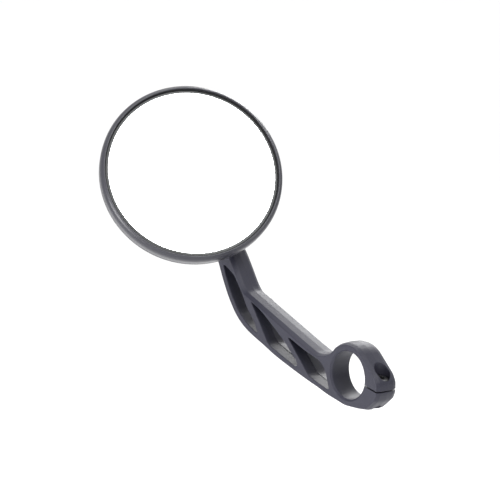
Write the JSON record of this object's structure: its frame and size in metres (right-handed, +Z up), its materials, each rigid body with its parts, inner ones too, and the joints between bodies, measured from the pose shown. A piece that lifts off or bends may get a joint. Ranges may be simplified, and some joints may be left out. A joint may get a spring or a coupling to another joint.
{
  "type": "handlebar mirror",
  "caption": "Round convex handlebar mirror on a ball joint, carried by a truss-shaped plastic arm with a split clamp for a bicycle handlebar.",
  "frame": {"origin": "centre of the clamp bore, on the arm's middle plane", "axes": "+X along the handlebar bore, +Y forward along the arm, +Z up; the glass faces back towards -Y and up"},
  "size_m": [0.0839, 0.1564, 0.1404],
  "materials": {
    "arm_plastic": "fine moulded grain, satin",
    "shell_plastic": "fine moulded grain, matt",
    "rim_plastic": "satin",
    "carrier_plastic": "matt",
    "screw_steel": "zinc plated",
    "plate_steel": "zinc plated sheet",
    "ball_chrome": "polished",
    "brass": "knurled",
    "nylon": "matt",
    "liner_plastic": "smooth acetal",
    "cap_rubber": "matt",
    "foam": "closed-cell foam",
    "mirror_glass": "polished, silvered"
  },
  "bodies": {
    "arm": {"arm": "arm_plastic", "clamp_screw": "screw_steel", "clamp_washer": "screw_steel", "clamp_insert": "brass", "ball_stud": "ball_chrome", "stud_washer": "screw_steel", "stud_nut": "screw_steel", "nut_insert": "nylon", "nut_cap": "cap_rubber"},
    "liner": {"ball_liner": "liner_plastic"},
    "head": {"housing_shell": "shell_plastic", "collar_seal": "cap_rubber", "pressure_plate": "plate_steel", "plate_screws": "screw_steel", "spring_washers": "screw_steel", "glass_carrier": "carrier_plastic", "adhesive_pad": "foam", "mirror_glass": "mirror_glass", "glass_gasket": "cap_rubber", "rim_ring": "rim_plastic"}
  },
  "joints": [
    {"name": "mirror_tilt", "type": "hinge", "parent": "arm", "child": "liner", "pos_m": [-0.01468, 0.10912, 0.07748], "axis": [0.8988, -0.4384, 0], "range_deg": [-16, 5]},
    {"name": "mirror_pan", "type": "hinge", "parent": "liner", "child": "head", "pos_m": [-0.01468, 0.10912, 0.07748], "axis": [0.1887, 0.3869, 0.9026], "range_deg": [-44, 6]}
  ]
}
